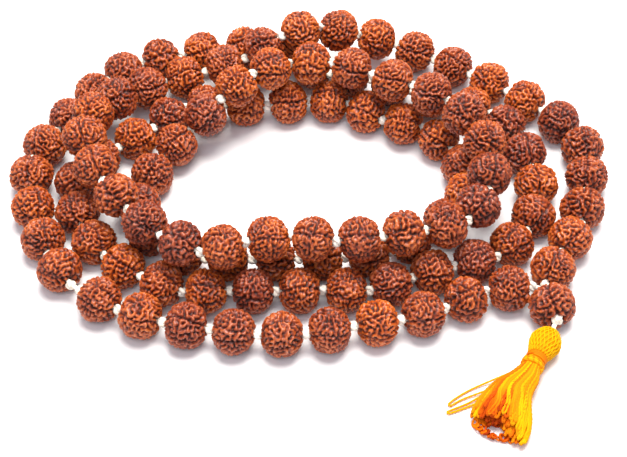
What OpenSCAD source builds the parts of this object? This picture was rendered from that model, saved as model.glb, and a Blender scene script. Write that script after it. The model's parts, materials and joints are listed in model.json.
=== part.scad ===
// Mala of 108 rudraksha beads with a guru bead and a tassel, laid down in
// four turns. Millimetres, +Z up, standing on Z = 0, centred in plan.

/* [Beads] */
// Bead diameter, across the thread
bead_d = 10.5; // [8.5:0.1:12.7]
// Bead length along the thread, from pole to pole
bead_len = 9.4; // [7.5:0.1:12]
// Room for the knot between the poles of two neighbouring beads
knot_gap = 1.8; // [1.2:0.1:3]

/* [Thread] */
// Diameter of the strand thread
thread_d = 1.2; // [0.8:0.1:1.6]
// Diameter of the knots between the beads
knot_d = 2.4; // [2:0.1:3.2]
// Diameter of the knot that closes the strand outside the guru bead
guru_knot_d = 3.2; // [2.9:0.1:3.8]
// Radial play of the thread in a bead's bore
bore_play = 0.3; // [0.2:0.05:0.5]
// Play between a knot and the dimple that it sits in
knot_play = 0.2; // [0.15:0.05:0.4]
// Bare thread left where one knot was tied too far out
bare_len = 3; // [1:0.5:6]

/* [Tassel head] */
// Length of the netted head
head_len = 8.4; // [6.5:0.1:11]
// Diameter of the head at its widest
head_d = 7.6; // [6:0.1:9.4]
// Thickness of the netted cover
cover_t = 0.5; // [0.3:0.1:0.8]
// Diameter of the tie cord that carries the tassel
tie_d = 1.2; // [0.8:0.1:1.5]
// Diameter of the ball that the tie ends in, inside the head's end
tie_ball_d = 2; // [1.6:0.1:2.4]
// Diameter of the bound neck, under its wraps
neck_d = 5; // [4.1:0.1:6]
// Diameter of the thread that wraps the neck
wrap_d = 0.6; // [0.4:0.1:0.8]

/* [Tassel skirt] */
// Length of the skirt, from the band to the ends of the loops
skirt_len = 20; // [16:0.5:26]
// Width of the skirt where it lies open on the floor
skirt_w = 15; // [12:0.5:19]
// Height of the skirt at its fullest
skirt_h = 6.8; // [6:0.1:8.4]
// Thickness of the outer layer of strands
strand_layer = 1; // [0.6:0.1:1.3]
// Diameter of one skirt strand
strand_d = 0.8; // [0.5:0.1:1.1]

/* [Hidden] */
$fn = 48;

// A mala has 108 beads. The first loose_count have a node each, and the rest
// are two groups of separate beads.
bead_count = 108;
loose_count = 45;
group_split = 76;
// The bare stretch comes after this bead
bare_after = 10;

function two_digits(i) = i < 10 ? str("0", i) : str(i);
function bead_name(i) = str("bead_", two_digits(i));
function group_name(first, last) = str("beads_", first, "_to_", last);

// ---- Where the strand lies ----

// Its route on the floor, in four turns, for beads of route_bead_d
route_bead_d = 10.5;
route = [
    // first turn: outside, front to left to back
    [54, -24, 5], [46, -24, 5], [36, -27, 5], [26, -33, 5], [4, -37, 5],
    [-7, -39, 5], [-29, -36, 5], [-41, -33, 5], [-50, -28, 5], [-61, -19, 5],
    [-69, 2, 5], [-71, 13, 5], [-69, 24, 5], [-57, 43, 5], [-51, 53, 5],
    [-41, 57, 5], [-19, 62, 5], [-8, 61, 5], [0, 51, 5], [10, 51, 5],
    [31, 42, 5], [42, 38, 5], [50, 31, 5], [56, 10, 5], [54, -2, 5], [48, -11, 5],
    // second turn: middle row
    [39, -17, 5], [28, -18, 5], [18, -25, 5], [7, -24, 5], [-4, -26, 5],
    [-15, -24, 5], [-25, -26, 5], [-37, -23, 5], [-54, -10, 5], [-57, 0, 5],
    [-61, 11, 5], [-55, 20, 5], [-45, 26, 5], [-38, 34, 5], [-28, 41, 5],
    [-17, 38, 5], [5, 42, 5], [14, 34, 5], [25, 33, 5], [33, 25, 5],
    [39, 16, 5], [39, 5, 5], [31, -3, 5],
    // third turn: inner row on the floor, then climbing at the back
    [22, -11, 5], [13, -14, 5], [-9, -15, 5], [-31, -14, 5], [-40, -7, 5],
    [-44, 3, 5], [-36, 23, 5], [-27, 29, 11], [-20, 34, 17], [-11, 42, 16],
    [0, 45, 15], [10, 42, 16], [20, 37, 15], [30, 33, 16], [38, 24, 16],
    [43, 15, 16], [43, 3, 16], [40, -8, 15],
    // fourth turn: on top of the others, then down and over the crossing
    [32, -15, 16], [21, -15, 15], [12, -20, 17], [1, -19, 16], [-10, -17, 16],
    [-20, -22, 17], [-31, -20, 15], [-47, -5, 16], [-57, 15, 16], [-56, 27, 15],
    [-51, 35, 11], [-44, 44, 7], [-34, 49, 6], [-23, 50, 9], [-13, 53, 12],
    [-3, 57, 17], [7, 60, 12], [18, 61, 9], [28, 59, 5], [47, 47, 5],
    [64, 32, 5], [70, 22, 5], [67, 11, 5], [67, 0, 5], [56, -19, 5], [55, -25, 5]
];
guru_place = [56, -30, 5];
// Middle of the lay in plan with its tassel, which comes to the origin
route_middle = [-1.2, -0.6, 0];

// The lay grows with the beads: sideways it keeps their rows apart, and along
// the thread it keeps their pitch. Its heights grow with the bead diameter.
route_pitch = 11.2;
bead_r = bead_d / 2;
knot_r = knot_d / 2;
guru_knot_r = guru_knot_d / 2;
thread_r = thread_d / 2;
lay_scale = max(bead_d / route_bead_d, (bead_len + knot_gap) / route_pitch);
height_scale = bead_d / route_bead_d;
function laid(p) =
    let (q = p - route_middle)
    [q.x * lay_scale, q.y * lay_scale, q.z * height_scale];
function above_floor(p) = [p.x, p.y, max(p.z, bead_r)];
lay_points = [for (p = route) laid(p)];

// A smooth curve through the points, cut into short chords
chords_per_point = 12;
function smooth(a, b, c, d, t) =
    0.5 * (2 * b + (c - a) * t + (2 * a - 5 * b + 4 * c - d) * t * t
    + (3 * b - a - 3 * c + d) * t * t * t);
function clamped(points, i) = points[max(0, min(len(points) - 1, i))];
function curve_point(points, x) =
    let (i = floor(x), t = x - i)
    smooth(clamped(points, i - 1), clamped(points, i),
        clamped(points, i + 1), clamped(points, i + 2), t);

lay_curve = [
    for (i = [0:(len(lay_points) - 1) * chords_per_point])
        above_floor(curve_point(lay_points, i / chords_per_point))
];

// Table of length along the curve against the place on it
lay_table = [
    for (
        i = 0, s = 0;
        i < len(lay_curve);
        s = s + (i + 1 < len(lay_curve) ? norm(lay_curve[i + 1] - lay_curve[i]) : 0),
        i = i + 1
    )
        [s, lay_curve[i]]
];
lay_len = lay_table[len(lay_table) - 1][0];
table_x = [for (row = lay_table) [row[0], row[1].x]];
table_y = [for (row = lay_table) [row[0], row[1].y]];
table_z = [for (row = lay_table) [row[0], row[1].z]];
function lay_at(s) = [lookup(s, table_x), lookup(s, table_y), lookup(s, table_z)];

// Knots at an equal spacing along the curve, with the bare stretch between two
start_len = 2.2;
end_len = 1.5;
spacing = (lay_len - start_len - end_len - bare_len) / bead_count;
function bare_before(bead) = bead > bare_after ? bare_len : 0;
function knot_before(bead) = lay_at(start_len + (bead - 1) * spacing + bare_before(bead));
function knot_after(bead) = lay_at(start_len + bead * spacing + bare_before(bead));

// ---- Guru bead, where both ends meet ----

guru_at = above_floor(laid(guru_place));
guru_turn = -80;
guru_axis = [cos(guru_turn), sin(guru_turn), 0];
guru_side = [-guru_axis.y, guru_axis.x, 0];
// The guru knot sits in the outer dimple
guru_knot_sink = 0.4;
guru_knot_at = guru_at + (bead_len / 2 - guru_knot_sink) * guru_axis;
// Both ends turn into the bore just outside the inner pole, a hair apart
ply_turn_out = 0.4;
ply_gap = 0.1;
ply_side = thread_r + ply_gap / 2;
guru_bore_play = 0.15;
guru_bore_d = 2 * (thread_d + guru_bore_play) + ply_gap;
function ply_turn(side) =
    guru_at - (bead_len / 2 + ply_turn_out) * guru_axis + side * ply_side * guru_side;
function ply_end(side) = guru_knot_at + side * ply_side * guru_side;

// ---- Tassel, along its own X from the guru knot ----

tassel_turn = -118;
floor_gap = 0.1;
head_z = head_d / 2 + floor_gap;
tie_r = tie_d / 2;
tie_ball_r = tie_ball_d / 2;
ball_play = 0.15;
pocket_r = tie_ball_r + ball_play;
rim_t = 0.4;
rim_r = pocket_r + rim_t;
// The tie leaves the guru knot a little clear of it. Its ball is the pivot
// that the head lifts about, and the head's end starts just past the ball.
tie_clear = 0.1;
ball_gap = 0.3;
lift_at = guru_knot_r + ball_gap + tie_ball_r;
lift_rise = 0.3;
lift_z = head_z + lift_rise;
ball_inset = 0.1;
head_start = lift_at + ball_inset;
neck_r = neck_d / 2;
neck_at = head_start + head_len;
// Turns of thread press into each other a little, and into the neck
turn_pitch = 0.85;
turn_sink = 0.1;
wrap_turns = 3;
wrap_pitch = turn_pitch * wrap_d;
wrap_len = (wrap_turns - 1) * wrap_pitch + wrap_d;
band_thread_share = 1.5;
band_thread_d = band_thread_share * wrap_d;
band_turns = 3;
band_pitch = turn_pitch * band_thread_d;
band_at = neck_at + wrap_len;
band_len = (band_turns - 1) * band_pitch + band_thread_d;
band_end = band_at + band_len;

// Outline of the head: [share of its length, share of its radius], between
// the rim and the flare that widens the neck into it
head_shape = [[0.12, 0.7], [0.42, 1], [0.68, 0.9]];
flare_from = 0.88;
neck_flare = 0.312;
head_points = concat(
    [[0, rim_r]],
    [for (p = head_shape) [p.x * head_len, p.y * head_d / 2]],
    [[flare_from * head_len, neck_r + neck_flare], [head_len, neck_r]]
);
outline_steps = 4;
head_outline = [
    for (i = [0:(len(head_points) - 1) * outline_steps])
        curve_point(head_points, i / outline_steps)
];

// The skirt ends in small loops, in an arc on the floor
strand_r = strand_d / 2;
loop_r = 0.9;
loop_len = 2 * (loop_r + strand_r);
loop_bow = 0.4;
loop_gap = 0.2;
// The two outermost loops, in shares of the skirt's width, and as many between
// them as fit side by side
loop_from = -0.37;
loop_to = 0.43;
loops_w = (loop_to - loop_from) * skirt_w;
loop_count = floor(loops_w / (loop_len + loop_gap)) + 1;

// The skirt starts as a ball about its own flex axis, then spreads into a
// bell: [share of the bell's length, place of its middle, share of the width,
// lowest height, share of the height]
band_gap = 0.15;
skirt_at = band_end + band_gap;
bell_len = skirt_len - loop_len - loop_bow - loop_gap;
flex_r = 2.8;
skirt_shape = [
    [0.17, 0, 0.38, 1.2, 0.82],
    [0.29, -0.6, 0.52, 0.6, 0.9],
    [0.43, -1.2, 0.64, 0.2, 0.96],
    [0.6, -1, 0.78, 0.1, 0.99],
    [0.76, -0.5, 0.9, 0.1, 1],
    [0.9, -0.3, 0.98, 0.1, 0.98],
    [1, -0.2, 1, 0.1, 0.94]
];
skirt_sides = 24;
core_rings = 5;
flex_angles = [30, 60];

// ---- Placing helpers ----

// Stands its children on point a, with their +Z towards point b
module aim(a, b) {
    d = b - a;
    translate(a)
        rotate([0, acos(d.z / norm(d)), atan2(d.y, d.x)])
            children();
}

module rod(a, b, r) {
    aim(a, b)
        cylinder(r = r, h = norm(b - a));
}

module ball(p, r) {
    translate(p)
        sphere(r = r);
}

// ---- Beads ----

// A round bead about Z. Its poles are reach_a below and reach_b above their
// knots' centres.
module seed(reach, dimple_r, bore_d) {
    end_r = bead_len / 2;
    difference() {
        rotate_extrude()
            intersection() {
                translate([bead_r - end_r, 0])
                    circle(r = end_r);
                translate([0, -bead_len])
                    square([bead_d, 2 * bead_len]);
            }
        cylinder(d = bore_d, h = 2 * bead_len, center = true);
        for (side = [-1, 1])
            translate([0, 0, side * reach])
                sphere(r = dimple_r);
    }
}

module strand_bead(i) {
    a = knot_before(i);
    b = knot_after(i);
    reach = norm(b - a) / 2;
    color(i % 3 == 0 ? "saddlebrown" : "sienna")
        translate((a + b) / 2)
            aim([0, 0, 0], b - a)
                seed(reach, knot_r + knot_play, thread_d + 2 * bore_play);
}

module bead_group(first, last) {
    for (i = [first:last])
        strand_bead(i);
}

module guru_bead() {
    color("sienna")
        translate(guru_at)
            aim([0, 0, 0], guru_axis)
                seed(bead_len / 2 - guru_knot_sink, guru_knot_r + knot_play, guru_bore_d);
}

// ---- Thread ----

// From the guru knot through the guru bead, straight from knot to knot all the
// way round, and back through the guru bead
thread_path = concat(
    [ply_end(-1), ply_turn(-1)],
    [for (i = [1:bare_after]) knot_before(i)],
    [knot_after(bare_after)],
    [for (i = [bare_after + 1:bead_count]) knot_before(i)],
    [knot_after(bead_count), ply_turn(1), ply_end(1)]
);
thread_sides = 8;
function unit(v) = v / norm(v);
// Circle of points about place p, square to direction d, which isn't upright
function round_ring(p, d, r) =
    let (side = unit([-d.y, d.x, 0]), up = cross(unit(d), side))
    [
        for (k = [0:thread_sides - 1])
            let (a = 360 * k / thread_sides)
            p + r * (cos(a) * side + sin(a) * up)
    ];
function way_at(path, i) =
    i == 0 ? path[1] - path[0]
    : i == len(path) - 1 ? path[i] - path[i - 1]
    : unit(path[i] - path[i - 1]) + unit(path[i + 1] - path[i]);
function tube_rings(path, r) =
    [for (i = [0:len(path) - 1]) round_ring(path[i], way_at(path, i), r)];

// Closed skin over rings that have the same number of points
module ring_skin(rings) {
    n = len(rings[0]);
    last = len(rings) - 1;
    polyhedron(
        points = [for (ring = rings) for (p = ring) p],
        faces = concat(
            [[for (k = [0:n - 1]) k]],
            [[for (k = [n - 1:-1:0]) last * n + k]],
            [
                for (i = [0:last - 1])
                    for (k = [0:n - 1])
                        for (half = [0, 1])
                            let (a = i * n + k, b = i * n + (k + 1) % n)
                            half == 0 ? [a, a + n, b] : [b, a + n, b + n]
            ]
        )
    );
}

module thread() {
    color("ivory")
        ring_skin(tube_rings(thread_path, thread_r));
}

// One knot at each place in the thread's path but the ends and the turns
module strand_knots() {
    color("ivory")
        for (i = [2:len(thread_path) - 3])
            ball(thread_path[i], knot_r);
}

module guru_knot() {
    color("ivory")
        ball(guru_knot_at, guru_knot_r);
}

// ---- Tassel ----

module tassel_frame() {
    translate([guru_knot_at.x, guru_knot_at.y, 0])
        rotate([0, 0, tassel_turn])
            children();
}

// Turned about the tassel's own X, which lies head_z above the floor
module turned_from(x) {
    translate([x, 0, head_z])
        rotate([0, 90, 0])
            rotate_extrude()
                children();
}

module tassel_tie() {
    from = [0, 0, guru_knot_at.z];
    to = [lift_at, 0, lift_z];
    step = (to - from) / norm(to - from);
    color("ivory")
        tassel_frame() {
            rod(from + (guru_knot_r + tie_clear) * step, to, tie_r);
            ball(to, tie_ball_r);
        }
}

module tie_pocket() {
    ball([lift_at, 0, lift_z], pocket_r);
}

// Area between the head's outline, moved in by inset, and the axis
module head_area(inset) {
    polygon(concat(
        [[0, 0]],
        [for (p = head_outline) [p.y - inset, p.x]],
        [[0, head_len]]
    ));
}

module head_core() {
    color("gold")
        tassel_frame()
            difference() {
                turned_from(head_start) {
                    head_area(cover_t);
                    translate([0, head_len / 2])
                        square([neck_r - cover_t, band_end - head_start - head_len / 2]);
                }
                tie_pocket();
            }
}

module head_cover() {
    color("yellow")
        tassel_frame()
            difference() {
                turned_from(head_start)
                    difference() {
                        head_area(0);
                        head_area(cover_t);
                    }
                tie_pocket();
            }
}

// Turns of a thread side by side, lying on a neck of radius neck
module turns(x, count, pitch, thread, neck) {
    turned_from(x)
        intersection() {
            for (i = [0:count - 1])
                translate([neck + (0.5 - turn_sink) * thread, thread / 2 + i * pitch])
                    circle(d = thread);
            translate([neck, 0])
                square([2 * thread, count * thread]);
        }
}

module neck_wrap() {
    color("darkorange")
        tassel_frame()
            turns(neck_at, wrap_turns, wrap_pitch, wrap_d, neck_r - cover_t);
}

module band_wrap() {
    color("orange")
        tassel_frame()
            turns(band_at, band_turns, band_pitch, band_thread_d, neck_r - cover_t);
}

// Rings of the skirt's outside, moved in by inset
function ball_ring(angle, inset) =
    let (r = (flex_r - inset) * sin(angle))
    [
        for (k = [0:skirt_sides - 1])
            let (a = 360 * k / skirt_sides)
            [
                skirt_at + flex_r - (flex_r - inset) * cos(angle),
                r * cos(a),
                head_z + r * sin(a)
            ]
    ];
function skirt_ring(row, inset) =
    let (
        w = row[2] * skirt_w / 2 - inset,
        h = row[4] * skirt_h / 2 - inset,
        low = row[3] + inset
    )
    [
        for (k = [0:skirt_sides - 1])
            let (a = 360 * k / skirt_sides)
            [skirt_at + row[0] * bell_len, row[1] + w * cos(a), low + h + h * sin(a)]
    ];
function skirt_rings(rows, inset) = concat(
    [for (angle = flex_angles) ball_ring(angle, inset)],
    [for (i = [0:rows - 1]) skirt_ring(skirt_shape[i], inset)]
);

function moved_ring(ring, dx) = [for (p = ring) [p.x + dx, p.y, p.z]];

module skirt_outer() {
    inner = skirt_rings(len(skirt_shape), strand_layer);
    mouth = moved_ring(inner[len(inner) - 1], strand_layer);
    color("orange")
        tassel_frame()
            difference() {
                ring_skin(skirt_rings(len(skirt_shape), 0));
                ring_skin(concat(inner, [mouth]));
            }
}

module skirt_core() {
    color("orangered")
        tassel_frame()
            ring_skin(skirt_rings(core_rings, strand_layer));
}

module skirt_tips() {
    color("peru")
        tassel_frame()
            for (i = [0:loop_count - 1]) {
                share = i / (loop_count - 1);
                y = loop_from * skirt_w + loops_w * share;
                back = loop_bow * (1 - sin(180 * share));
                translate([skirt_at + skirt_len - loop_len / 2 - back, y, strand_r + floor_gap])
                    rotate_extrude()
                        translate([loop_r, 0])
                            circle(r = strand_r, $fn = 24);
            }
}

// Two strands that have left the skirt on its left: [share of its length,
// share of its width, height]
stray_routes = [
    [[0.1, -0.37, 1], [0.3, -0.52, 0.6], [0.55, -0.71, 0.5], [0.8, -0.85, 0.5]],
    [[0.5, -0.55, 0.5], [0.65, -0.63, 0.5], [0.9, -0.8, 0.5]]
];
stray_steps = 3;
function stray_place(p) = [
    skirt_at + p.x * skirt_len,
    p.y * skirt_w,
    max(p.z, strand_r + floor_gap)
];

module stray_threads() {
    color("gold")
        tassel_frame()
            for (way = stray_routes) {
                points = [for (p = way) stray_place(p)];
                steps = (len(points) - 1) * stray_steps;
                path = [for (i = [0:steps]) curve_point(points, i / stray_steps)];
                ring_skin(tube_rings(path, strand_r));
            }
}

thread();
strand_knots();
guru_knot();
guru_bead();
for (i = [1:loose_count]) {
    strand_bead(i);
}
for (ends = [[loose_count + 1, group_split], [group_split + 1, bead_count]]) {
    bead_group(ends[0], ends[1]);
}
tassel_tie();
head_core();
head_cover();
neck_wrap();
band_wrap();
skirt_core();
skirt_outer();
skirt_tips();
stray_threads();
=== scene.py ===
"""Looks of a rudraksha mala: 108 wrinkled seeds on a knotted cotton thread, a
guru seed and a netted tassel, laid down in four turns. Metres, in the frame's
own axes. Laid out as an add-on and run as a script."""

import json
import math

import bmesh
import bpy
import numpy as np
from bpy.props import FloatProperty, FloatVectorProperty, IntProperty, PointerProperty
from bpy.types import Operator, Panel, PropertyGroup
from mathutils import Matrix, Vector

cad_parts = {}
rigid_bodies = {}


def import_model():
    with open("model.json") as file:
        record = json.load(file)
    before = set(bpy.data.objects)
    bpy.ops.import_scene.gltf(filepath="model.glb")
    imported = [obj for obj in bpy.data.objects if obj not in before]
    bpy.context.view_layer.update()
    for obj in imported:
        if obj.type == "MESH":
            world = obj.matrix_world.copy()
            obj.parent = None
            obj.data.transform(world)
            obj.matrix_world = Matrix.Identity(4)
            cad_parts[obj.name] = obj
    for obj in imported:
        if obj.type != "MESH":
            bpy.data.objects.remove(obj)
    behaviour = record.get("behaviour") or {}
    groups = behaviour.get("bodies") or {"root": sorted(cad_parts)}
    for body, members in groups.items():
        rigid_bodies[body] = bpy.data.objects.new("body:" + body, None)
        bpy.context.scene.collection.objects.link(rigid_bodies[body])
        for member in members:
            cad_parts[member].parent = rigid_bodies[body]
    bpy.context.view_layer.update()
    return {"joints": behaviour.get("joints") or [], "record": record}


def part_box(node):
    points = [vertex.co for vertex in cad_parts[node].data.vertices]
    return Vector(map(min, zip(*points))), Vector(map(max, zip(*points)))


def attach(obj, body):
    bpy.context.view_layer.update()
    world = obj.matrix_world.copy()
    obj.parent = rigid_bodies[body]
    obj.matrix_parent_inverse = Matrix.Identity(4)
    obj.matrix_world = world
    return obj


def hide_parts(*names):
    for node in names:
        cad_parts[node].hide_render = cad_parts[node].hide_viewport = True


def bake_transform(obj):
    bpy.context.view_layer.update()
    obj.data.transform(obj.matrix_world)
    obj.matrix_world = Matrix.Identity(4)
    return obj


bl_info = {
    "name": "Rudraksha mala",
    "version": (1, 0, 0),
    "blender": (4, 5, 0),
    "location": "View3D > Sidebar > Mala",
    "description": "Builds the looks of a rudraksha mala around its packed frame",
    "category": "Object",
}

for leftover in list(bpy.data.objects):
    bpy.data.objects.remove(leftover)
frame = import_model()
JOINTS = {joint["name"]: joint for joint in frame["joints"]}
BODIES = frame["record"]["behaviour"]["bodies"]

MM = 0.001

# ---- Where the strand lies ----

# Its route on the floor in four turns, before its middle is moved to the origin
ROUTE = [
    # first turn: outside, front to left to back
    (0.054, -0.024, 0.005), (0.046, -0.024, 0.005), (0.036, -0.027, 0.005),
    (0.026, -0.033, 0.005), (0.004, -0.037, 0.005), (-0.007, -0.039, 0.005),
    (-0.029, -0.036, 0.005), (-0.041, -0.033, 0.005), (-0.050, -0.028, 0.005),
    (-0.061, -0.019, 0.005), (-0.069, 0.002, 0.005), (-0.071, 0.013, 0.005),
    (-0.069, 0.024, 0.005), (-0.057, 0.043, 0.005), (-0.051, 0.053, 0.005),
    (-0.041, 0.057, 0.005), (-0.019, 0.062, 0.005), (-0.008, 0.061, 0.005),
    (0.000, 0.051, 0.005), (0.010, 0.051, 0.005), (0.031, 0.042, 0.005),
    (0.042, 0.038, 0.005), (0.050, 0.031, 0.005), (0.056, 0.010, 0.005),
    (0.054, -0.002, 0.005), (0.048, -0.011, 0.005),
    # second turn: middle row
    (0.039, -0.017, 0.005), (0.028, -0.018, 0.005), (0.018, -0.025, 0.005),
    (0.007, -0.024, 0.005), (-0.004, -0.026, 0.005), (-0.015, -0.024, 0.005),
    (-0.025, -0.026, 0.005), (-0.037, -0.023, 0.005), (-0.054, -0.010, 0.005),
    (-0.057, 0.000, 0.005), (-0.061, 0.011, 0.005), (-0.055, 0.020, 0.005),
    (-0.045, 0.026, 0.005), (-0.038, 0.034, 0.005), (-0.028, 0.041, 0.005),
    (-0.017, 0.038, 0.005), (0.005, 0.042, 0.005), (0.014, 0.034, 0.005),
    (0.025, 0.033, 0.005), (0.033, 0.025, 0.005), (0.039, 0.016, 0.005),
    (0.039, 0.005, 0.005), (0.031, -0.003, 0.005),
    # third turn: inner row on the floor, then climbing at the back
    (0.022, -0.011, 0.005), (0.013, -0.014, 0.005), (-0.009, -0.015, 0.005),
    (-0.031, -0.014, 0.005), (-0.040, -0.007, 0.005), (-0.044, 0.003, 0.005),
    (-0.036, 0.023, 0.005), (-0.027, 0.029, 0.011), (-0.020, 0.034, 0.017),
    (-0.011, 0.042, 0.016), (0.000, 0.045, 0.015), (0.010, 0.042, 0.016),
    (0.020, 0.037, 0.015), (0.030, 0.033, 0.016), (0.038, 0.024, 0.016),
    (0.043, 0.015, 0.016), (0.043, 0.003, 0.016), (0.040, -0.008, 0.015),
    # fourth turn: on top of the others, then down and over the crossing
    (0.032, -0.015, 0.016), (0.021, -0.015, 0.015), (0.012, -0.020, 0.017),
    (0.001, -0.019, 0.016), (-0.010, -0.017, 0.016), (-0.020, -0.022, 0.017),
    (-0.031, -0.020, 0.015), (-0.047, -0.005, 0.016), (-0.057, 0.015, 0.016),
    (-0.056, 0.027, 0.015), (-0.051, 0.035, 0.011), (-0.044, 0.044, 0.007),
    (-0.034, 0.049, 0.006), (-0.023, 0.050, 0.009), (-0.013, 0.053, 0.012),
    (-0.003, 0.057, 0.017), (0.007, 0.060, 0.012), (0.018, 0.061, 0.009),
    (0.028, 0.059, 0.005), (0.047, 0.047, 0.005), (0.064, 0.032, 0.005),
    (0.070, 0.022, 0.005), (0.067, 0.011, 0.005), (0.067, 0.000, 0.005),
    (0.056, -0.019, 0.005), (0.055, -0.025, 0.005),
]
ROUTE_MIDDLE = (-0.0012, -0.0006, 0.0)
CHORDS_PER_POINT = 12
SEED_COUNT = 108
BARE_AFTER = 10
BARE_LEN = 3 * MM
START_LEN = 2.2 * MM
END_LEN = 1.5 * MM

SEED_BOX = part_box("bead_05")
SEED_D = SEED_BOX[1].z - SEED_BOX[0].z
SEED_LEN = 9.4 * MM
THREAD_R = 0.6 * MM
BORE_R = 0.9 * MM
GURU_BORE_R = 1.4 * MM
KNOT_PLAY = 0.1 * MM
GURU_AT = np.array(JOINTS["guru_spin"]["pos_m"])
GURU_AXIS = np.array(JOINTS["guru_spin"]["axis"])
GURU_SIDE = np.array([-GURU_AXIS[1], GURU_AXIS[0], 0.0])
GURU_KNOT_AT = np.array(JOINTS["tassel_swing"]["pos_m"])
PLY_SIDE = 0.65 * MM
PLY_TURN_OUT = 0.4 * MM


def unit(v):
    v = np.asarray(v, float)
    return v / np.linalg.norm(v)


def smooth_curve(points, steps):
    """A Catmull-Rom curve through the points, cut into short chords."""
    p = np.asarray(points, float)
    p = np.vstack([p[:1], p, p[-1:]])
    t = np.linspace(0, 1, steps, endpoint=False)[:, None]
    parts = [
        0.5 * (2 * b + (c - a) * t + (2 * a - 5 * b + 4 * c - d) * t**2
               + (3 * b - a - 3 * c + d) * t**3)
        for a, b, c, d in zip(p, p[1:], p[2:], p[3:])
    ]
    return np.vstack(parts + [p[-1:]])


class Line:
    """A line of short chords that is read by length along it."""

    def __init__(self, points):
        self.points = np.asarray(points, float)
        chords = np.linalg.norm(np.diff(self.points, axis=0), axis=1)
        self.marks = np.concatenate([[0.0], np.cumsum(chords)])
        self.length = self.marks[-1]

    def at(self, s):
        return np.array([np.interp(s, self.marks, k) for k in self.points.T]).T

    def every(self, step):
        count = max(2, round(self.length / step) + 1)
        return self.at(np.linspace(0, self.length, count))


def strand_places():
    """The knots before and after each seed, in order along the strand."""
    curve = smooth_curve(np.array(ROUTE) - ROUTE_MIDDLE, CHORDS_PER_POINT)
    curve[:, 2] = np.maximum(curve[:, 2], SEED_D / 2)
    line = Line(curve)
    spacing = (line.length - START_LEN - END_LEN - BARE_LEN) / SEED_COUNT
    places = []
    for number in range(1, SEED_COUNT + 1):
        start = START_LEN + (number - 1) * spacing + BARE_LEN * (number > BARE_AFTER)
        places.append((line.at(start), line.at(start + spacing)))
    return places


PLACES = strand_places()
for number, (before, after) in enumerate(PLACES, 1):
    joint = JOINTS.get(f"bead_{number:02d}_spin")
    if joint and np.linalg.norm((before + after) / 2 - joint["pos_m"]) > 0.1 * MM:
        raise ValueError(f"the route doesn't meet bead {number} of the frame")


def thread_points():
    """From the guru knot through the guru seed, round by every knot, and back."""
    def by_guru(along, side):
        return GURU_AT + along * GURU_AXIS + side * PLY_SIDE * GURU_SIDE

    inner = -(SEED_LEN / 2 + PLY_TURN_OUT)
    outer = float((GURU_KNOT_AT - GURU_AT) @ GURU_AXIS)
    knots = [before for before, _ in PLACES]
    knots.insert(BARE_AFTER, PLACES[BARE_AFTER - 1][1])
    knots.append(PLACES[-1][1])
    return [by_guru(outer, -1), by_guru(inner, -1), *knots, by_guru(inner, 1), by_guru(outer, 1)]


# ---- The tassel's own frame: X from the guru knot, Z up from the floor ----

TASSEL_TURN = math.atan2(*reversed([
    JOINTS["tassel_lift"]["pos_m"][k] - JOINTS["tassel_swing"]["pos_m"][k] for k in (0, 1)
]))
TASSEL = (
    Matrix.Translation((GURU_KNOT_AT[0], GURU_KNOT_AT[1], 0))
    @ Matrix.Rotation(TASSEL_TURN, 4, "Z")
)
TIE_BALL_AT = (2.9 * MM, 0, 4.2 * MM)
HEAD_START = 3 * MM
HEAD_LEN = 8.4 * MM
HEAD_R = 3.8 * MM
HEAD_Z = 3.9 * MM
RIM_R = 1.55 * MM
POCKET_R = 1.15 * MM
NECK_R = 2.5 * MM
NET_R = 0.19 * MM
NET_SINK = 0.2 * MM
NET_T = 0.32 * MM
NET_START = 0.35 * MM
NECK_AT = 11.4 * MM
BAND_AT = 13.02 * MM
BAND_END = 15.45 * MM
SKIRT_AT = 15.6 * MM
SKIRT_W = 15 * MM
SKIRT_H = 6.8 * MM
BELL_LEN = 16.8 * MM
# From the skirt's outside to the middle of its outermost strands
STRAND_ROOM = 0.3 * MM
FLOOR_GAP = 0.1 * MM
LOOP_COUNT = 15


def tassel_points(points):
    """Points in the tassel's own frame, moved to the part's."""
    p = np.asarray(points, float).reshape(-1, 3)
    turned = p @ np.array(TASSEL.to_3x3()).T
    return turned + np.array(TASSEL.translation)


# ---- Making meshes ----


def square_frame(axis):
    """Rows side, up and axis: three unit vectors square to each other."""
    axis = unit(axis)
    side = unit(np.cross((0, 0, 1), axis) if abs(axis[2]) < 0.9 else np.cross((1, 0, 0), axis))
    return np.array([side, np.cross(axis, side), axis])


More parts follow.
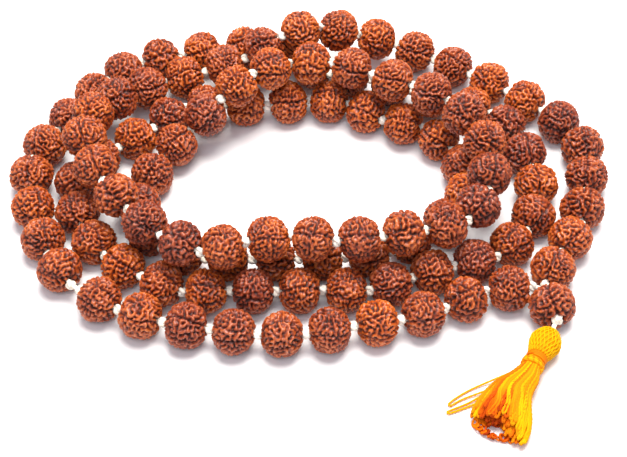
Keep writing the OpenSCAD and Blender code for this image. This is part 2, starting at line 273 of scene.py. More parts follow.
def tube(bm, path, radius, sides=6, lobes=0, lobe=0.0, turns=0.0, shade=0.5, closed=False):
    """A strand along a path, rolled up from a grid. Its section may have lobes, one
    for each ply, which turn about it. The shade is kept on its points."""
    path = np.asarray(path, float)
    count = len(path)
    if closed:
        ways = np.roll(path, -1, 0) - np.roll(path, 1, 0)
    else:
        ways = np.gradient(path, axis=0)
    ways /= np.linalg.norm(ways, axis=1)[:, None]
    sideways = np.zeros_like(path)
    sideways[0] = square_frame(ways[0])[0]
    for k in range(1, count):
        across = sideways[k - 1] - ways[k] * (sideways[k - 1] @ ways[k])
        sideways[k] = across / np.linalg.norm(across)
    upwards = np.cross(ways, sideways)
    radius = np.broadcast_to(np.asarray(radius, float), (count,))
    shade = np.broadcast_to(np.asarray(shade, float), (count,))
    angles = np.linspace(0, 2 * math.pi, sides, endpoint=False)
    phase = np.linspace(0, 2 * math.pi * turns, count)
    reach = radius[:, None] * (1 + lobe * np.cos(lobes * (angles[None] - phase[:, None])))
    rings = path[:, None] + reach[..., None] * (
        np.cos(angles)[None, :, None] * sideways[:, None]
        + np.sin(angles)[None, :, None] * upwards[:, None]
    )
    layer = bm.verts.layers.float.get("shade") or bm.verts.layers.float.new("shade")
    long_way = count + 1 if closed else count
    made = bmesh.ops.create_grid(bm, x_segments=long_way - 1, y_segments=sides, size=1.0)["verts"]
    for v in made:
        i = round((v.co.x + 1) / 2 * (long_way - 1))
        j = round((v.co.y + 1) / 2 * sides)
        v[layer] = shade[i % count]
        v.co = rings[i % count, j % sides]
    bmesh.ops.remove_doubles(bm, verts=made, dist=1e-8)
    if not closed:
        rims = [e for v in made if v.is_valid for e in v.link_edges if e.is_boundary]
        bmesh.ops.holes_fill(bm, edges=list(set(rims)), sides=sides)


def knot_path(centre, axis, size, height, turn, rings):
    """An overhand knot drawn tight, closed on itself, about an axis."""
    t = np.linspace(0, 2 * math.pi, rings, endpoint=False)
    round_ = np.array([
        np.sin(t) + 2 * np.sin(2 * t),
        np.cos(t) - 2 * np.cos(2 * t),
        -np.sin(3 * t),
    ]).T * (size / 3, size / 3, height)
    c, s = math.cos(turn), math.sin(turn)
    round_ = round_ @ np.array([[c, s, 0], [-s, c, 0], [0, 0, 1]])
    return centre + round_ @ square_frame(axis)


def piece(name, mesh, material, body, replaces):
    """Puts a finished mesh in the scene on its body, in place of its CAD nodes."""
    mesh.materials.append(material)
    obj = bpy.data.objects.new(name, mesh)
    bpy.context.scene.collection.objects.link(obj)
    if body:
        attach(obj, body)
    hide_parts(*replaces)
    return obj


def mesh_from(bm, name, smooth=True):
    """The bmesh's faces as a mesh, pointing outwards."""
    bmesh.ops.recalc_face_normals(bm, faces=bm.faces[:])
    for face in bm.faces:
        face.smooth = smooth
    mesh = bpy.data.meshes.new(name)
    bm.to_mesh(mesh)
    bm.free()
    return mesh


# ---- Materials ----


def linear(hex_colour):
    """An sRGB hex colour as linear red, green, blue and one."""
    parts = [int(hex_colour[k:k + 2], 16) / 255 for k in (1, 3, 5)]
    return tuple(c / 12.92 if c <= 0.04045 else ((c + 0.055) / 1.055) ** 2.4 for c in parts) + (1,)


def per_metre(size):
    """Scale of a pattern whose feature has this real size."""
    return 1 / size


def add(tree, kind, stops=None, inputs=None, **settings):
    """Adds a node with its settings, colour stops, and values or links for its inputs."""
    node = tree.nodes.new("ShaderNode" + kind)
    for name, value in settings.items():
        setattr(node, name, value)
    if stops:
        ramp = node.color_ramp.elements
        while len(ramp) < len(stops):
            ramp.new(0.5)
        for element, (place, colour) in zip(ramp, stops):
            element.position = place
            element.color = linear(colour)
    for name, value in (inputs or {}).items():
        if isinstance(value, bpy.types.NodeSocket):
            tree.links.new(value, node.inputs[name])
        else:
            node.inputs[name].default_value = value
    return node


def new_material(name):
    material = bpy.data.materials.new(name)
    material.use_nodes = True
    tree = material.node_tree
    tree.nodes.clear()
    return material, tree


def finish_material(tree, colour, normal=None, **inputs):
    named = {name.replace("_", " "): value for name, value in inputs.items()}
    named["Base Color"] = colour
    if normal is not None:
        named["Normal"] = normal
    shader = add(tree, "BsdfPrincipled", inputs=named)
    add(tree, "OutputMaterial", inputs={"Surface": shader.outputs[0]})


def seed_shell():
    """Dried rudraksha seed, boiled clean and oiled, with rubbed patches: dark maroon in its crevices and
    seams by painted shade, lighter orange brown and faintly glossy on its ridges."""
    material, tree = new_material("rudraksha_seed_oiled")
    place = add(tree, "TexCoord").outputs["Object"]
    relief = add(tree, "Attribute", attribute_name="relief").outputs["Fac"]
    tint = add(tree, "Attribute", attribute_name="tint").outputs["Fac"]
    # rubbed patches about 2.5 mm across, and grain about 0.35 mm across
    patches = add(tree, "TexNoise", inputs={
        "Vector": place, "Scale": per_metre(2.5 * MM), "Detail": 2.0, "Roughness": 0.6})
    grain = add(tree, "TexNoise", inputs={
        "Vector": place, "Scale": per_metre(0.35 * MM), "Detail": 3.0, "Roughness": 0.6})
    wear_and_crevice_shade = add(tree, "Math", operation="MULTIPLY_ADD", inputs={
        0: patches.outputs["Fac"], 1: 0.36, 2: -0.18})
    # painted shade: the relief darkens the crevices and seams and lightens the ridge tops
    wear_and_crevice_shade = add(tree, "Math", operation="ADD", inputs={0: wear_and_crevice_shade.outputs[0], 1: relief})
    speck = add(tree, "Math", operation="MULTIPLY_ADD", inputs={
        0: grain.outputs["Fac"], 1: 0.3, 2: -0.15})
    wear_and_crevice_shade = add(tree, "Math", operation="ADD", use_clamp=True, inputs={
        0: wear_and_crevice_shade.outputs[0], 1: speck.outputs[0]})
    red = add(tree, "ValToRGB", inputs={"Fac": wear_and_crevice_shade.outputs[0]}, stops=[
        (0.0, "#240704"), (0.3, "#4A150A"), (0.55, "#752A14"), (0.8, "#963F20"), (1.0, "#B05A38")])
    orange = add(tree, "ValToRGB", inputs={"Fac": wear_and_crevice_shade.outputs[0]}, stops=[
        (0.0, "#2C0A03"), (0.3, "#622006"), (0.55, "#963A0C"), (0.8, "#BA5212"), (1.0, "#D27030")])
    colour = add(tree, "Mix", data_type="RGBA", inputs={
        "Factor": tint, 6: red.outputs[0], 7: orange.outputs[0]})
    bump = add(tree, "Bump", inputs={
        "Height": grain.outputs["Fac"], "Strength": 0.5, "Distance": 0.12 * MM})
    gloss = add(tree, "MapRange", inputs={
        "Value": wear_and_crevice_shade.outputs[0], "From Min": 0.2, "From Max": 1.0, "To Min": 0.55, "To Max": 0.27})
    finish_material(tree, colour.outputs[2], bump.outputs[0], Roughness=gloss.outputs[0], IOR=1.5)
    return material


def spun_thread(name, stops, fibre, sheen):
    """Spun thread: soft and matt, mottled by its fibres in tufts of about 0.25 mm."""
    material, tree = new_material(name)
    place = add(tree, "TexCoord").outputs["Object"]
    # the shade attribute gives each thread its tone; on the tassel it also carries painted shade
    shade = add(tree, "Attribute", attribute_name="shade").outputs["Fac"]
    fuzz = add(tree, "TexNoise", inputs={
        "Vector": place, "Scale": per_metre(0.25 * MM), "Detail": 4.0, "Roughness": 0.7})
    uneven = add(tree, "Math", operation="MULTIPLY_ADD", inputs={
        0: fuzz.outputs["Fac"], 1: 2 * fibre, 2: -fibre})
    mixed = add(tree, "Math", operation="ADD", use_clamp=True, inputs={
        0: shade, 1: uneven.outputs[0]})
    colour = add(tree, "ValToRGB", inputs={"Fac": mixed.outputs[0]}, stops=stops)
    bump = add(tree, "Bump", inputs={
        "Height": fuzz.outputs["Fac"], "Strength": 0.6, "Distance": 0.08 * MM})
    finish_material(tree, colour.outputs[0], bump.outputs[0], Roughness=0.75,
                    Sheen_Weight=sheen, Sheen_Roughness=0.5, Specular_IOR_Level=0.12)
    return material


# ---- Settings ----


class MalaSeedSettings(PropertyGroup):
    ridge_pitch: FloatProperty(
        name="Ridge pitch", description="Distance from one ridge to the next",
        default=1.55 * MM, min=1 * MM, max=3 * MM, subtype="DISTANCE", unit="LENGTH")
    ridge_depth: FloatProperty(
        name="Ridge depth", description="Height of a ridge above the crevice beside it",
        default=0.95 * MM, min=0.1 * MM, max=1.2 * MM, subtype="DISTANCE", unit="LENGTH")
    ridge_rise: FloatProperty(
        name="Ridge rise", description="How far the ridges stand out of the round seed",
        default=0.4 * MM, min=0, max=0.6 * MM, subtype="DISTANCE", unit="LENGTH")
    groove_depth: FloatProperty(
        name="Groove depth", description="Depth of the seams that run from pole to pole",
        default=0.5 * MM, min=0, max=0.8 * MM, subtype="DISTANCE", unit="LENGTH")
    groove_count: IntProperty(
        name="Faces", description="Number of seams, and of faces between them", default=5, min=1, max=9)
    shape_count: IntProperty(
        name="Shapes", description="Number of different seed shapes", default=12, min=1, max=24)
    cells: IntProperty(
        name="Cells", description="Cells along each side of a seed's mesh", default=32, min=8, max=40)


class MalaThreadSettings(PropertyGroup):
    knot_diameter: FloatProperty(
        name="Knot diameter", description="Diameter of the knots between the seeds",
        default=2.7 * MM, min=2 * MM, max=3.2 * MM, subtype="DISTANCE", unit="LENGTH")
    twist: FloatProperty(
        name="Twist", description="Length over which a ply goes once round the thread",
        default=3.6 * MM, min=1 * MM, max=10 * MM, subtype="DISTANCE", unit="LENGTH")


class MalaTasselSettings(PropertyGroup):
    net_count: IntProperty(
        name="Net strands", description="Strands each way in the net on the head", default=22, min=8, max=40)
    strand_count: IntProperty(
        name="Skirt strands", description="Looped strands in the skirt", default=150, min=40, max=300)
    strand_radius: FloatProperty(
        name="Strand radius", description="Radius of a strand of the skirt",
        default=0.34 * MM, min=0.1 * MM, max=0.6 * MM, subtype="DISTANCE", unit="LENGTH")


class MalaStageSettings(PropertyGroup):
    floor_colour: FloatVectorProperty(
        name="Floor", description="Colour of the floor", subtype="COLOR", size=4,
        default=linear("#F2F2F4"), min=0, max=1)
    key_power: FloatProperty(
        name="Key light", description="Power of the large soft light", default=13.0, min=0, unit="POWER")


# ---- Stage ----

CAMERA_TARGET = Vector((0.0012, 0.0006, 0.0))
CAMERA_ELEVATION = math.radians(46.83)
CAMERA_DISTANCE = 0.462
CAMERA_ROLL = math.radians(-0.203)
SENSOR_MM = 36
LENS_MM = 107.1
FLOOR_HALF = 2.0


class MALA_OT_stage(Operator):
    """Sets up the camera, the pale floor and the soft light"""

    bl_idname = "mala.stage"
    bl_label = "Stage"

    def execute(self, context):
        settings = context.scene.mala_stage
        scene = context.scene
        away = Vector((0, -math.cos(CAMERA_ELEVATION), math.sin(CAMERA_ELEVATION)))
        camera_data = bpy.data.cameras.new("camera")
        camera_data.sensor_width = SENSOR_MM
        camera_data.lens = LENS_MM
        camera_data.clip_start = 0.01
        camera = bpy.data.objects.new("camera", camera_data)
        camera.matrix_world = (
            Matrix.Translation(CAMERA_TARGET + CAMERA_DISTANCE * away)
            @ Matrix.Rotation(math.pi / 2 - CAMERA_ELEVATION, 4, "X")
            @ Matrix.Rotation(CAMERA_ROLL, 4, "Z")
        )
        scene.collection.objects.link(camera)
        scene.camera = camera

        bm = bmesh.new()
        bmesh.ops.create_grid(bm, x_segments=4, y_segments=4, size=FLOOR_HALF)
        floor = bpy.data.objects.new("floor", mesh_from(bm, "floor"))
        material, tree = new_material("matt_white_paper")
        # matt paper, so fine that only its dullness shows
        finish_material(tree, tuple(settings.floor_colour), Roughness=0.9, Specular_IOR_Level=0.2)
        floor.data.materials.append(material)
        scene.collection.objects.link(floor)

        lights = [
            # name, place, size across, power, colour
            ("key", (0.05, 0.14, 0.84), 0.6, settings.key_power, "#FFFBF4"),
            ("front", (-0.1, -0.5, 0.75), 0.5, 0.2 * settings.key_power, "#F4F6FF"),
        ]
        for name, at, size, power, colour in lights:
            data = bpy.data.lights.new(name, "AREA")
            data.shape = "DISK"
            data.size = size
            data.energy = power
            data.color = linear(colour)[:3]
            light = bpy.data.objects.new(name, data)
            light.matrix_world = (
                Matrix.Translation(at) @ (-Vector(at)).to_track_quat("-Z", "Y").to_matrix().to_4x4()
            )
            scene.collection.objects.link(light)

        world = bpy.data.worlds.new("studio")
        world.use_nodes = True
        background = world.node_tree.nodes["Background"].inputs
        background["Color"].default_value = linear("#F6F7FF")
        background["Strength"].default_value = 0.4
        scene.world = world
        scene.view_settings.view_transform = "Standard"
        return {"FINISHED"}


# ---- Thread and knots ----

COTTON_STOPS = [(0.0, "#CFC4B0"), (0.5, "#F3EBDC"), (1.0, "#FFFBF2")]


def cotton():
    """Undyed cotton, spun and plied: matt cream white with soft fibres."""
    found = bpy.data.materials.get("spun_cotton_undyed")
    return found or spun_thread("spun_cotton_undyed", COTTON_STOPS, 0.35, 0.2)


class MALA_OT_thread(Operator):
    """Lays the cotton thread through every seed and back into the guru seed"""

    bl_idname = "mala.thread"
    bl_label = "Thread"

    def execute(self, context):
        settings = context.scene.mala_thread
        path = Line(thread_points()).every(0.6 * MM)
        length = Line(path).length
        bm = bmesh.new()
        tube(bm, path, 0.94 * THREAD_R, sides=9, lobes=3, lobe=0.12, turns=length / settings.twist)
        obj = piece("strand_thread", mesh_from(bm, "strand_thread"), cotton(),
                    "strand", ["thread"])
        return {"FINISHED"}


class MALA_OT_knots(Operator):
    """Ties the knots between the seeds and the knot that closes the strand"""

    bl_idname = "mala.knots"
    bl_label = "Knots"

    def execute(self, context):
        settings = context.scene.mala_thread
        rng = np.random.default_rng(11)
        path = thread_points()
        bm = bmesh.new()
        cord_share = 0.21
        cord_r = cord_share * settings.knot_diameter
        for k in range(2, len(path) - 2):
            axis = unit(path[k] - path[k - 1]) + unit(path[k + 1] - path[k])
            knot = knot_path(path[k], axis, settings.knot_diameter / 2 - cord_r,
                             rng.uniform(0.45, 0.6) * MM, rng.uniform(0, 6.28), 30)
            tube(bm, knot, cord_r, sides=6, shade=rng.uniform(0.4, 0.8), closed=True)
        piece("knots", mesh_from(bm, "knots"), cotton(), "strand", ["strand_knots"])

        bm = bmesh.new()
        for turn, size in ((0.3, 1.0 * MM), (1.2, 0.75 * MM)):
            knot = knot_path(GURU_KNOT_AT, GURU_AXIS, size, 0.6 * MM, turn, 40)
            tube(bm, knot, 0.55 * MM, sides=8, shade=0.7, closed=True)
        piece("closing_knot", mesh_from(bm, "closing_knot"), cotton(),
              "strand", ["guru_knot"])
        return {"FINISHED"}


# ---- Seeds ----


def seed_blank(cells, bore_r):
    """A round blank of even cells about Z, one unit in radius, with a bore."""
    bm = bmesh.new()
    bmesh.ops.create_cube(bm, size=2.0)
    bmesh.ops.subdivide_edges(bm, edges=bm.edges[:], cuts=cells - 1, use_grid_fill=True)
    for v in bm.verts:
        v.co = Vector(math.tan(c * math.pi / 4) for c in v.co).normalized()
    bore = bore_r / (SEED_D / 2)
    inside = [f for f in bm.faces if math.hypot(*f.calc_center_median().xy) < bore]
    bmesh.ops.delete(bm, geom=inside, context="FACES")
    rim = [e for e in bm.edges if e.is_boundary]
    for v in {v for e in rim for v in e.verts}:
        across = v.co.xy.normalized() * bore
        v.co = (*across, math.copysign(math.sqrt(1 - bore * bore), v.co.z))
    bmesh.ops.bridge_loops(bm, edges=rim)
    return bm


def smoothed(field, ends, shares, passes):
    """The field, spread between joined points over so many passes."""
    a, b = ends
    for _ in range(passes):
        field = 0.5 * field + 0.5 * np.bincount(a, field[b], len(field)) * shares
    return field


def wrinkles(ends, shares, count, passes, rng, rounds):
    """Winding ridges and crevices of an even pitch, from -1 to 1."""
    field = rng.normal(size=count)
    for _ in range(rounds):
        field = smoothed(field, ends, shares, passes)
        field = field - smoothed(field, ends, shares, 3 * passes)
        field = np.tanh(1.7 * field / field.std())
    return field


def carve_seed(ways, ends, shares, settings, rng):
    """Places of a wrinkled seed's points about Z, and their relief from 0 to 1."""
    r, half = SEED_D / 2, SEED_LEN / 2
    cell = 2 * math.pi * r / (4 * settings.cells)
    pitch = settings.ridge_pitch * rng.uniform(0.85, 1.15)
    # a pass spreads by half a cell, and this many set the pitch
    passes = max(2, round(3.7 * (pitch / cell / (2 * math.pi)) ** 2))
    ridge = smoothed(wrinkles(ends, shares, len(ways), passes, rng, 5), ends, shares, 1)
    ridge = ridge / np.abs(ridge).max()
    pebble = smoothed(wrinkles(ends, shares, len(ways), 2, rng, 3), ends, shares, 1)
    pebble = pebble / np.abs(pebble).max()
    swell = smoothed(rng.normal(size=len(ways)), ends, shares, 60)
    swell = swell / swell.std()
    broken = np.clip(0.75 * ridge + 0.5 * pebble, -1, 1)
    height = 1 - (0.5 - 0.5 * broken) ** 1.5 + 0.1 * swell
    # a little squarer than an ellipse
    power = 2.15
    across = np.hypot(ways[:, 0], ways[:, 1])
    squareness = (across**power + np.abs(ways[:, 2]) ** power) ** (-1 / power)
    angle = np.arctan2(ways[:, 1], ways[:, 0])
    lobes = 1 + 0.012 * np.cos(2 * angle + rng.uniform(0, 6.28)) \
        + 0.012 * np.cos(3 * angle + rng.uniform(0, 6.28))
    places = ways * squareness[:, None] * (r, r, half) * np.stack([lobes, lobes, np.ones_like(lobes)], 1)
    seam_w = 0.24 * MM
    groove = np.zeros(len(ways))
    for k in range(settings.groove_count):
        seam = 2 * math.pi * (k + rng.uniform(-0.12, 0.12)) / settings.groove_count \
            + 0.08 * np.sin(3 * ways[:, 2] + rng.uniform(0, 6.28))
        away = np.abs((angle - seam + math.pi) % (2 * math.pi) - math.pi) * across * r
        groove = np.maximum(groove, np.exp(-(away / seam_w) ** 2))
    depth = settings.ridge_depth * rng.uniform(0.85, 1.1)
    out = settings.ridge_rise + depth * (height - 1) - settings.groove_depth * groove
    places = places + ways * out[:, None]
    # the relief also paints shade: it is low in the crevices and seams, and the shell's colour darkens there
    relief = np.clip(height * (1 - 0.75 * groove), 0, 1)
    return places, relief


class MALA_OT_seeds(Operator):
    """Carves the 108 seeds and the guru seed and threads them"""

    bl_idname = "mala.seeds"
    bl_label = "Seeds"

    def seed(self, name, template, shape, at, axis, dimples, tint, spin, flip, body, node, material):
        """One seed, turned on the thread, with a dimple at each pole for its knot."""
        places, relief = shape
        places = places * (1, flip, flip)
        for side, knot_r, reach in dimples:
            across = np.hypot(places[:, 0], places[:, 1])
            near = (across < knot_r) & (side * places[:, 2] > 0)
            limit = reach - np.sqrt(np.maximum(knot_r**2 - across[near] ** 2, 0))
            places[near, 2] = side * np.minimum(side * places[near, 2], limit)
        c, s = math.cos(spin), math.sin(spin)
        turned = places @ np.array([[c, s, 0], [-s, c, 0], [0, 0, 1]])
        mesh = template.copy()
        mesh.name = name
        co = at + turned @ square_frame(axis)
        co[:, 2] = np.maximum(co[:, 2], 0)
        mesh.vertices.foreach_set("co", co.astype(np.float32).ravel())
        mesh.attributes["relief"].data.foreach_set("value", relief.astype(np.float32))
        mesh.attributes["tint"].data.foreach_set("value", np.full(len(co), tint, np.float32))
        piece(name, mesh, material, body, [node])

    def template(self, cells, bore_r):
        """A blank mesh, its points' directions and what joins them."""
        mesh = mesh_from(seed_blank(cells, bore_r), "seed_blank")
        for name in ("relief", "tint"):
            mesh.attributes.new(name, "FLOAT", "POINT")
        ways = np.zeros(len(mesh.vertices) * 3)
        mesh.vertices.foreach_get("co", ways)
        edges = np.zeros(len(mesh.edges) * 2, int)
        mesh.edges.foreach_get("vertices", edges)
        a, b = edges.reshape(-1, 2).T
        ends = (np.concatenate([a, b]), np.concatenate([b, a]))
        shares = 1 / np.bincount(ends[0], minlength=len(mesh.vertices))
        return mesh, ways.reshape(-1, 3), ends, shares

    def execute(self, context):
        settings = context.scene.mala_seeds
        rng = np.random.default_rng(108)
        material = seed_shell()
        mesh, ways, ends, shares = self.template(settings.cells, BORE_R)
        shapes = [carve_seed(ways, ends, shares, settings, rng) for _ in range(settings.shape_count)]
        body_of = {node: body for body, nodes in BODIES.items() for node in nodes}
        groups = [node for node in body_of if node.startswith("beads_")]
        knot_r = context.scene.mala_thread.knot_diameter / 2 + KNOT_PLAY
        for number, (before, after) in enumerate(PLACES, 1):
            node = f"bead_{number:02d}"
            if node not in body_of:
                node = next(g for g in groups if number <= int(g.split("_")[-1]))
            reach = np.linalg.norm(after - before) / 2
            size = rng.uniform(0.97, 1.0)
            places, relief = shapes[(number * 5 + number // 12) % settings.shape_count]
            self.seed(
                f"seed_{number:03d}", mesh, (places * (size, size, 1), relief),
                (before + after) / 2, after - before,
                [(-1, knot_r, reach), (1, knot_r, reach)],
                float(np.clip(rng.normal(0.5, 0.38), 0, 1)), rng.uniform(0, 6.28), rng.choice([-1, 1]),
                body_of[node], node, material)
        mesh, ways, ends, shares = self.template(settings.cells, GURU_BORE_R)
        reach = float((GURU_KNOT_AT - GURU_AT) @ GURU_AXIS)
        # the inner dimple is wider, for the two ends of the thread that part there
        dimples = [(-1, 2.6 * MM, reach + 0.4 * MM), (1, 1.8 * MM, reach)]
        self.seed("guru_seed", mesh, carve_seed(ways, ends, shares, settings, rng), GURU_AT, GURU_AXIS,
                  dimples, 0.35, 0.4, 1, "guru", "guru_bead", material)
        return {"FINISHED"}


# ---- Tassel ----

DYED_STOPS = [
    (0.0, "#962C00"), (0.25, "#C84C00"), (0.5, "#DE7200"), (0.75, "#E69400"), (1.0, "#E8B200")]


def dyed_thread():
    """Dyed viscose thread, loosely spun, from deep orange to bright yellow."""
    found = bpy.data.materials.get("spun_viscose_dyed")
    return found or spun_thread("spun_viscose_dyed", DYED_STOPS, 0.12, 0.0)


HEAD_SHAPE = [(0, RIM_R / HEAD_R), (0.12, 0.7), (0.42, 1), (0.68, 0.9), (0.88, 0.74), (1, NECK_R / HEAD_R)]


def head_outline():
    """The head's outline as places along it and radii."""
    curve = smooth_curve([(x, r, 0) for x, r in HEAD_SHAPE], 6)
    return HEAD_START + curve[:, 0] * HEAD_LEN, curve[:, 1] * HEAD_R


def about_axis(x, radius, angle):
    """Points about the tassel's own X, which lies HEAD_Z above the floor."""
    return tassel_points(np.stack([
        x * np.ones_like(angle), radius * np.cos(angle), HEAD_Z + radius * np.sin(angle)], -1))


def winding(bm, start, end, radius, thread_r, turns, shade, rng, sides=8, lobes=0, lobe=0.0, ply_turns=0.0):
    """A thread wound round the neck, a little unevenly."""
    count = int(turns * 28)
    share = np.linspace(0, 1, count)
    angle = 2 * math.pi * turns * share + rng.uniform(0, 6.28)
    uneven = smooth_curve(rng.normal(0, 0.06 * thread_r, (9, 3)), 40)
    uneven = np.array([np.interp(share, np.linspace(0, 1, len(uneven)), k) for k in uneven.T])
    x = start + thread_r + (end - start - 2 * thread_r) * share + uneven[0]
    tube(bm, about_axis(x, radius + uneven[1], angle), thread_r, sides=sides, lobes=lobes, lobe=lobe,
         turns=ply_turns, shade=shade)


class MALA_OT_tie(Operator):
    """Joins the tassel to the closing knot with a short plied cord"""

    bl_idname = "mala.tie"
    bl_label = "Tie cord"

    def execute(self, context):
        bm = bmesh.new()
        start = np.array([0, 0, GURU_KNOT_AT[2]])
        end = np.array(TIE_BALL_AT)
        start = start + unit(end - start) * 1.5 * MM
        path = tassel_points(Line([start, end]).every(0.15 * MM))
        tube(bm, path, 0.56 * MM, sides=9, lobes=3, lobe=0.12, turns=0.6, shade=0.7)
        ball = tassel_points([end])[0]
        tube(bm, knot_path(ball, path[-1] - path[0], 0.55 * MM, 0.35 * MM, 0.4, 30), 0.42 * MM,
             sides=6, shade=0.6, closed=True)
        piece("tie_cord", mesh_from(bm, "tie_cord"), cotton(), "tie", ["tassel_tie"])
        return {"FINISHED"}


class MALA_OT_head(Operator):
    """Makes the tassel's head: a stuffed core under a knotted net"""

    bl_idname = "mala.head"
    bl_label = "Tassel head"

    def execute(self, context):
        settings = context.scene.mala_tassel
        x, r = head_outline()
        bm = bmesh.new()
        shade = bm.verts.layers.float.new("shade")
        pocket = [
            (TIE_BALL_AT[0] + POCKET_R * math.cos(a), POCKET_R * math.sin(a))
            for a in np.linspace(0, math.radians(65), 7)
        ]
        profile = pocket + [(HEAD_START + 0.4 * MM, RIM_R - 0.15 * MM)]
        # its lip is cut back, so that the tie clears it when the head lifts
        profile += [(a, b - NET_T) for a, b in zip(x[3:], r[3:])]
        profile += [(BAND_END, NECK_R - 0.5 * MM), (BAND_END, 0)]
        verts = [bm.verts.new((a, 0, b)) for a, b in profile]
        edges = [bm.edges.new(pair) for pair in zip(verts, verts[1:])]
        bmesh.ops.spin(bm, geom=verts + edges, cent=(0, 0, 0), axis=(1, 0, 0),
                       angle=2 * math.pi, steps=48, use_merge=True)
        bmesh.ops.remove_doubles(bm, verts=bm.verts[:], dist=1e-7)
        # painted shade: the padding is a darker orange than the net over it, as shade under the net
        for v in bm.verts:
            v[shade] = 0.72
        bmesh.ops.transform(bm, matrix=TASSEL @ Matrix.Translation((0, 0, HEAD_Z)), verts=bm.verts[:])
        piece("head_padding", mesh_from(bm, "head_padding"), dyed_thread(),
              "tassel_head", ["head_core"])

        rng = np.random.default_rng(21)
        line = Line(np.stack([x, r, np.zeros_like(x)], 1))
        bm = bmesh.new()
        for way in (-1, 1):
            for k in range(settings.net_count):
                s = np.linspace(NET_START, line.length, 26)
                at = line.at(s)
                weave = 0.07 * MM * way * np.cos(s / line.length * math.pi * 9)
                angle = 2 * math.pi * k / settings.net_count + way * 1.15 * s / line.length
                tube(bm, about_axis(at[:, 0], at[:, 1] - NET_SINK + weave, angle), NET_R, sides=5,
                     shade=rng.uniform(0.9, 1.0) - 0.1 * (s / line.length > 0.85))
        piece("head_net", mesh_from(bm, "head_net"), dyed_thread(),
              "tassel_head", ["head_cover"])
        return {"FINISHED"}


class MALA_OT_bindings(Operator):
    """Winds the neck with thread and the band below it with plied cord"""

    bl_idname = "mala.bindings"
    bl_label = "Neck and band"

    def execute(self, context):
        rng = np.random.default_rng(31)
        bm = bmesh.new()
        for shade, turns in ((0.45, 3.2), (0.6, 2.6)):
            winding(bm, NECK_AT - 0.1 * MM, BAND_AT, NECK_R - 0.25 * MM, 0.27 * MM, turns, shade, rng)
        piece("neck_winding", mesh_from(bm, "neck_winding"), dyed_thread(),
              "tassel_head", ["neck_wrap"])
        bm = bmesh.new()
        for shade, start, end in ((0.8, 0, 0), (0.5, 0.2, 0.1), (0.95, 0.35, -0.2)):
            winding(bm, BAND_AT + start * MM - 0.1 * MM, BAND_END + end * MM, NECK_R - 0.15 * MM, 0.4 * MM,
                    2.3, shade, rng, sides=10, lobes=2, lobe=0.2, ply_turns=14)
        piece("band_winding", mesh_from(bm, "band_winding"), dyed_thread(),
              "tassel_head", ["band_wrap"])
        return {"FINISHED"}


# Sections of the skirt: share of the bell's length, place of its middle, share
# of the width, lowest height and share of the height
SKIRT_SHAPE = np.array([
    (0.0, 0, 0.33, 1.6, 0.68),
    (0.17, 0, 0.45, 1.2, 0.82),
    (0.29, -0.6, 0.52, 0.6, 0.9),
    (0.43, -1.2, 0.64, 0.2, 0.96),
    (0.6, -1, 0.78, 0.1, 0.99),
    (0.76, -0.5, 0.9, 0.1, 0.97),
    (0.9, -0.3, 0.98, 0.1, 0.8),
    (1, -0.2, 1, 0.1, 0.55),
])


def in_skirt(share, angle, depth):
    """Points of a strand at shares of the bell's length, in the tassel's frame."""
    middle, width, low, height = (np.interp(share, SKIRT_SHAPE[:, 0], k) for k in SKIRT_SHAPE.T[1:])
    half_w = width * SKIRT_W / 2 - STRAND_ROOM
    half_h = height * SKIRT_H / 2 - STRAND_ROOM
    return np.stack([
        SKIRT_AT + share * BELL_LEN,
        middle * MM + depth * half_w * np.cos(angle),
        low * MM + STRAND_ROOM + half_h * (1 + depth * np.sin(angle)),
    ], -1)


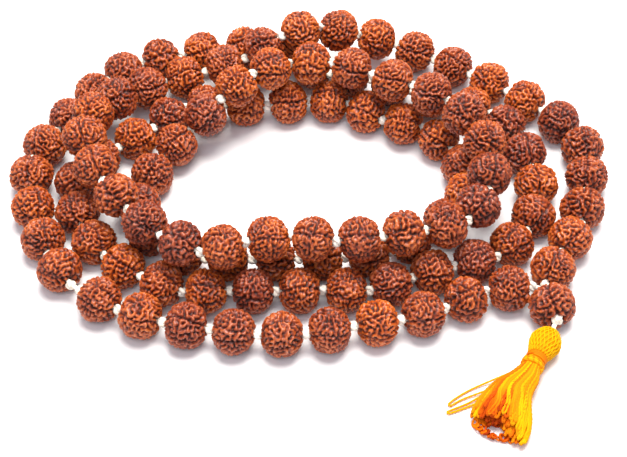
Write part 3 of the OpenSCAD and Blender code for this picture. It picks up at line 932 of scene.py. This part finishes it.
class MALA_OT_skirt(Operator):
    """Hangs the skirt of loose strands, its loops and its strays below the band"""

    bl_idname = "mala.skirt"
    bl_label = "Tassel skirt"

    def strand(self, bm, rng, angle, depth, end, radius, inner_shade):
        """One strand that waves down from under the band, turns round and comes back."""
        share = np.linspace(-0.06, end, 16)
        wave = 0.12 * np.sin(share * rng.uniform(3, 8) + rng.uniform(0, 6.28))
        wave += 0.05 * np.sin(share * rng.uniform(12, 20) + rng.uniform(0, 6.28))
        legs = []
        for apart in (-0.06, 0.06):
            leg = in_skirt(np.maximum(share, 0), angle + (wave + apart) * share, depth)
            leg[:, 0] = SKIRT_AT + share * BELL_LEN
            legs.append(leg)
        there, back = legs
        turn = (there[-1] + back[-1]) / 2 + 1.5 * radius * unit(there[-1] - there[-2])
        points = smooth_curve([*there, turn, *back[::-1]], 3)
        points[:, 2] = np.maximum(points[:, 2], radius + FLOOR_GAP)
        side = points[:, 1] / (SKIRT_W / 2)
        share = (points[:, 0] - SKIRT_AT) / BELL_LEN
        # painted shade: strands darken towards the end of the bell, in its hollow left of the middle
        hollow_shade = np.clip((share - 0.55) / 0.35, 0, 1) * np.clip(1.2 - np.abs(side + 0.3) / 0.5, 0, 1)
        # the filling strands are painted darker, as shade inside the skirt
        shade = rng.normal(0.6, 0.17) + 0.32 * np.clip(side, 0, 1) + 0.15 * (side < -0.75) \
            - 0.35 * hollow_shade - inner_shade
        tube(bm, tassel_points(points), radius, sides=6, lobes=2, lobe=0.18,
             turns=rng.uniform(16, 22), shade=np.clip(shade, 0, 1))

    def execute(self, context):
        settings = context.scene.mala_tassel
        rng = np.random.default_rng(41)
        layers = (
            # name, node, share of the strands, least and most depth, painted shade of the inner strands
            ("skirt_strands", "skirt_outer", 0.62, 0.86, 1.0, 0.0),
            ("skirt_filling", "skirt_core", 0.38, 0.2, 0.84, 0.1),
        )
        for name, node, amount, least, most, inner_shade in layers:
            bm = bmesh.new()
            count = round(amount * settings.strand_count)
            for k in range(count):
                angle = 2 * math.pi * (k + rng.uniform(-0.4, 0.4)) / count
                side = math.cos(angle)
                end = rng.uniform(0.88, 1.0) + 0.13 * max(0, side) ** 4 - 0.05 * (abs(side) < 0.45)
                self.strand(bm, rng, angle, rng.uniform(least, most), end,
                            settings.strand_radius * rng.uniform(0.8, 1.15), inner_shade)
            obj = piece(name, mesh_from(bm, name), dyed_thread(), None, [node])
            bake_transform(obj)

        bm = bmesh.new()
        for k in range(LOOP_COUNT):
            y = (-5.7 + 9.8 * k / (LOOP_COUNT - 1) + rng.uniform(-0.2, 0.2)) * MM
            bow = 1.5 * math.sin(math.pi * (k + 1) / LOOP_COUNT)
            x = SKIRT_AT + (17.4 + bow + rng.uniform(-0.35, 0.35)) * MM
            size = rng.uniform(0.45, 0.95) * MM
            t = np.linspace(0, 2 * math.pi, 22, endpoint=False)
            turn, tilt = rng.uniform(0, 6.28), rng.uniform(0.2, 0.8)
            loop = np.stack([
                x + size * np.cos(t),
                y + rng.uniform(0.5, 1.0) * size * np.sin(t),
                0.4 * MM + tilt * size * (1 + np.sin(t + turn))], -1)
            tube(bm, tassel_points(loop), rng.uniform(0.22, 0.34) * MM, sides=6, lobes=2, lobe=0.15, turns=4,
                 shade=rng.uniform(0.0, 0.6), closed=True)
        piece("skirt_loops", mesh_from(bm, "skirt_loops"), dyed_thread(),
              "tassel_skirt", ["skirt_tips"])

        bm = bmesh.new()
        # places in mm: along and across the skirt from its start, and above the floor
        hairpins = [
            [(1.5, -3.9, 2.2), (5, -7.4, 0.9), (9, -10.4, 0.5), (12.6, -12.3, 0.5), (15.2, -13.2, 0.5),
             (15.5, -12.6, 0.5), (12.6, -11, 0.5), (8.5, -7.6, 0.8), (5.5, -4.6, 1.6)],
            [(9, -7, 0.9), (13, -9.4, 0.5), (16.6, -12, 0.5), (17.6, -12.6, 0.5),
             (17.5, -11.8, 0.5), (14, -9, 0.5), (10.5, -6.4, 0.8)],
        ]
        for hairpin in hairpins:
            points = (np.array(hairpin) + (SKIRT_AT / MM, 0, 0)) * MM
            path = Line(smooth_curve(tassel_points(points), 8)).every(0.5 * MM)
            tube(bm, path, 0.25 * MM, sides=6, lobes=2, lobe=0.16, turns=12, shade=0.85)
        piece("stray_strands", mesh_from(bm, "stray_strands"), dyed_thread(),
              "tassel_skirt", ["stray_threads"])
        return {"FINISHED"}


# ---- Add-on ----


class MALA_PT_parts(Panel):
    """Buttons for the parts of the mala, in the order they are made"""

    bl_idname = "MALA_PT_parts"
    bl_label = "Mala"
    bl_space_type = "VIEW_3D"
    bl_region_type = "UI"
    bl_category = "Mala"

    def draw(self, context):
        for operator in OPERATORS:
            self.layout.operator(operator.bl_idname)


OPERATORS = (
    MALA_OT_stage, MALA_OT_thread, MALA_OT_knots, MALA_OT_seeds,
    MALA_OT_tie, MALA_OT_head, MALA_OT_bindings, MALA_OT_skirt,
)
SETTINGS = {
    "mala_stage": MalaStageSettings,
    "mala_thread": MalaThreadSettings,
    "mala_seeds": MalaSeedSettings,
    "mala_tassel": MalaTasselSettings,
}


def register():
    for cls in (*SETTINGS.values(), *OPERATORS, MALA_PT_parts):
        bpy.utils.register_class(cls)
    for name, cls in SETTINGS.items():
        setattr(bpy.types.Scene, name, PointerProperty(type=cls))


def unregister():
    for name in SETTINGS:
        delattr(bpy.types.Scene, name)
    for cls in (MALA_PT_parts, *reversed(OPERATORS), *SETTINGS.values()):
        bpy.utils.unregister_class(cls)


def main():
    register()
    bpy.ops.mala.stage()
    bpy.ops.mala.thread()
    bpy.ops.mala.knots()
    bpy.ops.mala.seeds()
    bpy.ops.mala.tie()
    bpy.ops.mala.head()
    bpy.ops.mala.bindings()
    bpy.ops.mala.skirt()


if __name__ == "__main__":
    main()
